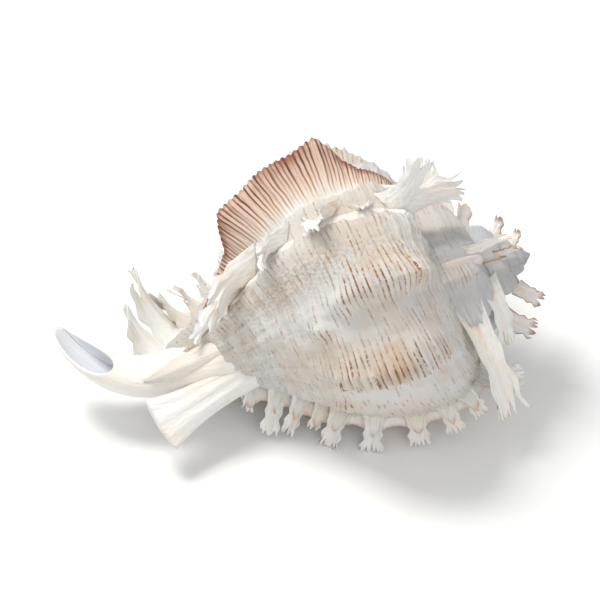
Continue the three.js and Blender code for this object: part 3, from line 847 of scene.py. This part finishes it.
# ---- Aperture ----
@dataclass
class Aperture:
    """The glazed hollow of the last whorl, the inside of the lip and the coloured inner lip."""

    depth: float = 215.0
    wall: float = 3.2
    glaze: float = 0.6
    outer_t: tuple = (1.05, 1.5, 2.1, 3.0, 4.0, 5.0, 6.0, 6.9)
    inner_t: tuple = (7.9, 7.2, 6.5, 5.8, 5.0, 4.4, 3.75, 3.2)
    deep_shift: tuple = (0.0, 0.0, 0.0, 0.0, 0.15, 0.3, 0.55, 0.8)
    band_from: tuple = (18.0, 36.0, 52.0, 60.0, 54.0, 36.0, 16.0, 8.0)
    band_to: tuple = (34.0, 54.0, 68.0, 78.0, 80.0, 74.0, 62.0, 42.0)
    columns: int = 200
    deep_rows: int = 90
    mouth_rows: int = 70
    cap_rows: int = 7
    girth: float = 240.0  # millimetres of pattern map round a ring

    def ring(self, values: Array, w: Array) -> Array:
        """Closed Catmull-Rom curve through the values of the last axis, at w in turns."""
        n = values.shape[-1]
        x = np.mod(w, 1.0) * n
        i = np.floor(x).astype(int)
        weights = enumerate(spline_weights(x - i))
        return sum(weight * values[..., (i + step - 1) % n] for step, weight in weights)

    def stations(self, g: Array, m: Array) -> tuple[Array, Array, Array]:
        """Ring stations at growth angle g and mouth share m (0 inside, 1 at the outer edge).

        Outer stations lie a wall's thickness inside the whorl, then run out over the lip's front.
        Inner ones lie on the whorl before, a turn back, and glaze it as far as band_to.

        Args:
            g: growth angle of each row.
            m: mouth share of each row.

        Returns:
            points (rows, stations, 3), the coloured band's share and growth run past the mouth.
        """
        g, m = g[:, None], m[:, None]
        outer, inner = np.array(self.outer_t)[None, :], np.array(self.inner_t)[None, :]
        inner = inner + np.array(self.deep_shift)[None, :] * smooth(0.0, -90.0, g)
        k = COIL.scale(g)
        heights = np.interp(OUTLINE.arc(outer), *np.array(webbed(6.0, (), (3.0, 152.0))).T)
        front = 2.2 * np.sin(math.pi * np.clip(m, 0, 1)) - 6.5 * m**2
        rise = -self.wall * k * (1.0 - smooth(0.0, 0.6, m)) + (heights + 1.0) * m**1.6
        out = OUTLINE.point(g + front, outer, rise)
        run = m * np.array(self.band_to)[None, :]
        lift = self.glaze * k + 0.9 * smooth(0.0, 0.5, m) - 3.2 * smooth(0.9, 1.0, m)
        into = OUTLINE.point(g + run - TURN, inner, lift + RELIEF.lift(g + run - TURN, inner) * 0.8)
        band = smooth(-6.0, 6.0, run - np.array(self.band_from)[None, :])
        plain = np.zeros(out.shape[:2])
        shares, runs = np.concatenate([plain, band], 1), np.concatenate([plain, run], 1)
        return np.concatenate([out, into], 1), shares, runs

    def build(self, finish: "Finish") -> None:
        """Makes the surface: rings from the depth to the mouth, then out over the lip and the band."""
        deep = np.linspace(-self.depth, 0.0, self.deep_rows)
        mouth = np.linspace(0.0, 1.0, self.mouth_rows)[1:]
        g = np.concatenate([deep, np.zeros_like(mouth)])
        m = np.concatenate([np.zeros_like(deep), mouth])
        points, band, run = self.stations(g, m)
        w = np.linspace(0.0, 1.0, self.columns, endpoint=False)
        grid = np.stack([self.ring(points[..., axis], w) for axis in range(3)], -1)
        share, past = self.ring(band, w), self.ring(run, w)
        centre = grid[:1].mean(1, keepdims=True)
        closing = np.linspace(0.0, 1.0, self.cap_rows + 1)[:-1, None, None] ** 0.6
        cap = centre + (grid[:1] - centre) * closing
        grid = np.concatenate([cap, grid])
        pad = [(self.cap_rows, 0), (0, 0)]
        share, past, reach = np.pad(share, pad), np.pad(past, pad), np.pad(m[:, None], pad)
        rows = np.concatenate([np.full(self.cap_rows, -self.depth), g])[:, None]
        uv = np.stack([rows + past, np.broadcast_to(w * self.girth, share.shape)], -1)
        work = Patchwork("aperture", ("callus", "reach", "deep"))
        # deep: share of the depth, by which the hollow is darkened with painted shade
        work.add(grid, uv, ring=True, callus=share, reach=reach, deep=-rows / self.depth)
        work.build(finish.made(finish.porcelain), "porcelain")


# ---- Finishes ----
class Graph:
    """A short way to write a node material: each method adds one node and returns its output."""

    def __init__(self, name: str) -> None:
        """Starts a material with its shader."""
        self.material = bpy.data.materials.new(name)
        self.material.use_nodes = True
        self.tree = self.material.node_tree
        self.shader = self.tree.nodes["Principled BSDF"]

    def node(self, kind: str, inputs: dict, **settings: object) -> bpy.types.Node:
        """Adds a node; inputs are values or other nodes' outputs."""
        made = self.tree.nodes.new(kind)
        for key, value in settings.items():
            setattr(made, key, value)
        for key, value in inputs.items():
            self.feed(made.inputs[key], value)
        return made

    def feed(self, socket: Socket, value: object) -> None:
        """Links another node's output to the socket, or writes a value on it."""
        if isinstance(value, Socket):
            self.tree.links.new(value, socket)
        else:
            socket.default_value = (*value, 1.0) if socket.type == "RGBA" else value

    def weight(self, name: str) -> Socket:
        """A painted weight of the mesh."""
        return self.node("ShaderNodeAttribute", {}, attribute_name=name).outputs["Fac"]

    def place(self) -> Socket:
        """Position on the piece, in metres."""
        return self.node("ShaderNodeTexCoord", {}).outputs["Object"]

    def coil(self, scale: tuple[float, float]) -> Socket:
        """The pattern map (along growth, across the cords), stretched by scale."""
        uv = self.node("ShaderNodeUVMap", {}, uv_map="coil").outputs["UV"]
        return self.node("ShaderNodeMapping", {"Vector": uv, "Scale": (*scale, 1.0)}).outputs["Vector"]

    def noise(self, vector: Socket, scale: float, detail: float = 4.0,
              rough: float = 0.55) -> Socket:
        """Noise from 0 to 1."""
        inputs = {"Vector": vector, "Scale": scale, "Detail": detail, "Roughness": rough}
        return self.node("ShaderNodeTexNoise", inputs).outputs["Fac"]

    def bands(self, pitch: float, low: float, high: float,
              wobble: Socket) -> Socket:
        """Thin bands along growth: a sine of the pattern's second coordinate, eased from low to high."""
        uv = self.node("ShaderNodeUVMap", {}, uv_map="coil").outputs["UV"]
        across = self.node("ShaderNodeSeparateXYZ", {"Vector": uv}).outputs["Y"]
        inputs = {0: across, 1: 2.0 * math.pi / pitch, 2: wobble}
        phase = self.node("ShaderNodeMath", inputs, operation="MULTIPLY_ADD").outputs[0]
        return self.span(self.sums("SINE", phase), low, high)

    def sums(self, kind: str, a: object, b: object = 0.0) -> Socket:
        """Arithmetic on two values."""
        return self.node("ShaderNodeMath", {0: a, 1: b}, operation=kind).outputs[0]

    def times(self, a: object, b: object) -> Socket:
        """Product of two values."""
        return self.sums("MULTIPLY", a, b)

    def span(self, value: object, low: float, high: float, to_low: float = 0.0,
             to_high: float = 1.0) -> Socket:
        """Value eased from low..high to to_low..to_high."""
        inputs = {"Value": value, "From Min": low, "From Max": high, "To Min": to_low, "To Max": to_high}
        return self.node("ShaderNodeMapRange", inputs, interpolation_type="SMOOTHSTEP").outputs["Result"]

    def mix(self, share: object, a: object, b: object) -> Socket:
        """Colour mix."""
        inputs = {0: share, 6: a, 7: b}
        return self.node("ShaderNodeMix", inputs, data_type="RGBA", clamp_factor=True).outputs[2]

    def finish(self, colour: Socket, rough: Socket | float,
               height: Socket, depth: float, glow: float,
               coat: float = 0.0) -> Material:
        """Joins everything to the shader; uniform values go on its own sockets.

        Args:
            colour: base colour.
            rough: roughness.
            height: bump pattern.
            depth: height of the bumps, in metres.
            glow: share of light scattered under the surface.
            coat: share of clear glaze.

        Returns:
            the finished material.
        """
        inputs = {"Height": height, "Distance": depth, "Strength": 1.0}
        normal = self.node("ShaderNodeBump", inputs).outputs["Normal"]
        values = {"Base Color": colour, "Normal": normal, "Roughness": rough, "Subsurface Weight": glow,
                  "Subsurface Scale": 0.004, "Coat Weight": coat}
        for key, value in values.items():
            self.feed(self.shader.inputs[key], value)
        return self.material


@dataclass
class Finish:
    """The shell's finishes: chalky outer wall, frilled fronds, canal and glazed porcelain."""

    chalk: Colour = (0.875, 0.865, 0.84)
    bone: Colour = (0.87, 0.80, 0.71)
    tan: Colour = (0.80, 0.62, 0.45)
    blush: Colour = (0.72, 0.50, 0.39)
    rose: Colour = (0.50, 0.25, 0.14)
    rust: Colour = (0.33, 0.115, 0.045)
    umber: Colour = (0.13, 0.045, 0.025)
    # ochre: dirt and painted shade in the hollows of the wall and at the roots of the fronds
    ochre: Colour = (0.50, 0.31, 0.13)
    sky: Colour = (0.80, 0.825, 0.86)
    peach: Colour = (0.86, 0.46, 0.27)
    cream: Colour = (0.84, 0.74, 0.65)
    # shade: darker tan of the painted shade deep in the aperture
    shade: Colour = (0.78, 0.66, 0.55)
    cache: dict = field(default_factory=dict)

    def made(self, recipe: Callable[[Graph], Material]) -> Material:
        """Material of one of the recipes below and of its name, made the first time it is asked for."""
        name = recipe.__name__
        if name not in self.cache:
            self.cache[name] = recipe(Graph(name))
        return self.cache[name]

    def outer_wall(self, n: Graph) -> Material:
        """White wall with rose-brown dashes that follow the cords, dirt and painted shade in the hollows,
        and a bluish spire.
        """
        place = n.place()
        broad = n.noise(place, 38.0, 3.0)
        patches = n.noise(place, 62.0, 4.0, 0.6)
        long = n.noise(n.coil((0.14, 0.35)), 1.0, 4.0, 0.6)
        grain = n.noise(n.coil((0.55, 0.5)), 1.6, 6.0, 0.7)
        wobble = n.times(n.noise(n.coil((0.05, 0.05)), 1.0, 2.0), 9.0)
        dashes = n.times(n.bands(2.2, 0.25, 0.9, wobble), n.span(grain, 0.36, 0.56))
        colour = n.mix(n.span(broad, 0.36, 0.64), self.chalk, self.bone)
        colour = n.mix(n.times(n.span(patches, 0.5, 0.72), 0.34), colour, self.tan)
        dash = n.times(n.span(long, 0.50, 0.62), dashes)
        colour = n.mix(n.times(dash, 0.7), colour, self.rose)
        flush = n.times(n.weight("streak"), n.span(patches, 0.42, 0.62))
        colour = n.mix(n.times(flush, 0.7), colour, self.tan)
        streak = n.times(n.times(dashes, n.weight("streak")), n.span(long, 0.40, 0.54))
        colour = n.mix(streak, colour, self.rust)
        # Ochre dirt and painted shade in the suture and behind the ribs.
        shaded_dirt = n.times(n.weight("dirt_and_shade"), n.span(grain, 0.42, 0.62))
        colour = n.mix(n.times(shaded_dirt, 0.7), colour, self.ochre)
        aged = n.times(n.weight("old"), n.span(broad, 0.3, 0.6, 0.4, 0.85))
        colour = n.mix(aged, colour, self.sky)
        fine = n.sums("ADD", n.noise(n.coil((0.9, 2.0)), 1.0, 6.0, 0.65), n.times(grain, 0.5))
        return n.finish(colour, n.span(grain, 0.3, 0.7, 0.42, 0.6), fine, 0.0011, 0.06)

    def frond(self, n: Graph) -> Material:
        """White fronds with an orange groove, dark rims, dirt and painted shade at the root, and the
        fringe's stripes.
        """
        height, edge = n.weight("height"), n.weight("edge")
        broad = n.noise(n.place(), 60.0, 3.0)
        sway = n.times(n.noise(n.coil((0.12, 0.12)), 1.0, 2.0), 9.0)
        present = n.span(n.noise(n.coil((0.02, 0.5)), 1.0), 0.35, 0.55)
        stripes = n.times(n.bands(1.5, -0.1, 0.7, sway), present)
        grain = n.noise(n.coil((0.3, 2.2)), 1.0, 5.0, 0.6)
        base = n.mix(n.span(broad, 0.42, 0.7), self.chalk, self.bone)
        dark = n.mix(n.span(height, 0.55, 0.95), self.rose, self.umber)
        ground = n.mix(n.span(height, 0.3, 1.0), self.bone, self.blush)
        scorched = n.times(n.span(height, 0.84, 1.0), n.span(broad, 0.35, 0.6))
        fringe = n.mix(stripes, n.mix(scorched, ground, self.rust), dark)
        colour = n.mix(n.times(n.weight("stripe"), n.span(height, 0.15, 0.6)), base, fringe)
        # Ochre dirt and painted shade at the roots of the fronds and flanges, fading towards their edges.
        shaded_dirt = n.times(n.weight("dirt_and_shade"), n.span(grain, 0.45, 0.65))
        shaded_dirt = n.times(shaded_dirt, n.span(height, 0.9, 0.1))
        colour = n.mix(n.times(shaded_dirt, 0.8), colour, self.ochre)
        groove = n.times(n.weight("groove"), n.span(height, 0.05, 0.5, 0.5, 0.15))
        colour = n.mix(groove, colour, self.peach)
        outer = n.sums("MAXIMUM", n.span(height, 0.7, 0.97), n.span(n.weight("rim"), 0.15, 0.7))
        rims = n.mix(edge, self.peach, self.rust)
        colour = n.mix(n.times(n.times(edge, outer), 0.8), colour, rims)
        return n.finish(colour, 0.5, grain, 0.0005, 0.08)

    def canal(self, n: Graph) -> Material:
        """Smooth white canal, blue-grey inside."""
        grain = n.noise(n.coil((0.15, 0.9)), 1.0, 5.0, 0.6)
        base = n.mix(n.span(n.noise(n.place(), 45.0, 3.0), 0.4, 0.7), self.chalk, self.bone)
        return n.finish(n.mix(n.weight("inside"), base, self.sky), 0.42, grain, 0.0006, 0.06)

    def porcelain(self, n: Graph) -> Material:
        """Glazed cream hollow, darkened deeper in by painted shade, with a peach-orange inner lip."""
        place = n.place()
        cloud = n.noise(place, 55.0, 3.0)
        # Painted shade: the hollow turns from cream to the shade colour deeper in.
        inner = n.mix(n.span(n.weight("deep"), 0.0, 0.6), self.cream, self.shade)
        lip = n.mix(n.span(n.weight("reach"), 0.1, 0.9), inner, self.chalk)
        orange = n.mix(n.span(n.noise(place, 160.0), 0.45, 0.7), self.peach, self.blush)
        glow = n.times(n.weight("callus"), n.span(cloud, 0.3, 0.6, 0.3, 0.9))
        return n.finish(n.mix(glow, lip, orange), 0.22, cloud, 0.0003, 0.08, 0.25)


# ---- Studio ----
@dataclass
class Studio:
    """Plain pale floor, soft light and the camera."""

    distance: float = 1.5
    lens: float = 235.0
    elevation: float = 46.0
    aim: tuple[float, float, float] = (0.0, 0.0097, 0.0094)

    def floor(self) -> None:
        """A wide pale floor."""
        bpy.ops.mesh.primitive_plane_add(size=6.0, location=(0, 0, 0))
        plane = bpy.context.object
        plane.name = "floor"
        material = bpy.data.materials.new("floor")
        material.use_nodes = True
        shader = material.node_tree.nodes["Principled BSDF"]
        shader.inputs["Base Color"].default_value = (0.93, 0.93, 0.92, 1.0)
        shader.inputs["Roughness"].default_value = 0.8
        plane.data.materials.append(material)

    def light(self, name: str, place: tuple, size: float, power: float, colour: Colour) -> None:
        """A square area light aimed at the shell's middle."""
        data = bpy.data.lights.new(name, "AREA")
        data.size, data.energy, data.color = size, power, colour
        lamp = bpy.data.objects.new(name, data)
        bpy.context.scene.collection.objects.link(lamp)
        lamp.location = place
        lamp.rotation_euler = (Vector((0, 0, 0.04)) - Vector(place)).to_track_quat("-Z", "Y").to_euler()

    def camera(self) -> None:
        """A long lens looking down on the shell."""
        data = bpy.data.cameras.new("camera")
        data.lens, data.sensor_width = self.lens, 36.0
        camera = bpy.data.objects.new("camera", data)
        bpy.context.scene.collection.objects.link(camera)
        e = math.radians(self.elevation)
        back = Vector((0.0, -math.cos(e), math.sin(e)))
        camera.location = Vector(self.aim) + back * self.distance
        camera.rotation_euler = (-back).to_track_quat("-Z", "Y").to_euler()
        bpy.context.scene.camera = camera

    def build(self) -> None:
        """Makes floor, lights, surroundings and camera."""
        self.floor()
        self.light("key", (-0.34, 0.22, 0.82), 0.32, 6.2, (1.0, 0.985, 0.96))
        self.light("fill", (0.35, -0.95, 0.6), 0.8, 3.2, (1.0, 0.99, 0.97))
        world = bpy.data.worlds.new("studio")
        world.use_nodes = True
        back = world.node_tree.nodes["Background"]
        back.inputs["Color"].default_value = (0.97, 0.985, 1.0, 1.0)
        back.inputs["Strength"].default_value = 0.54
        bpy.context.scene.world = world
        bpy.context.scene.view_settings.view_transform = "Standard"
        self.camera()


def main() -> None:
    """Builds the shell piece by piece, then the studio."""
    logging.basicConfig(level=logging.INFO, format="%(message)s")
    finish = Finish()
    Whorls().build(finish)
    Ribs().build(finish)
    Canals().build(finish)
    Aperture().build(finish)
    Studio().build()


if __name__ == "__main__":
    main()
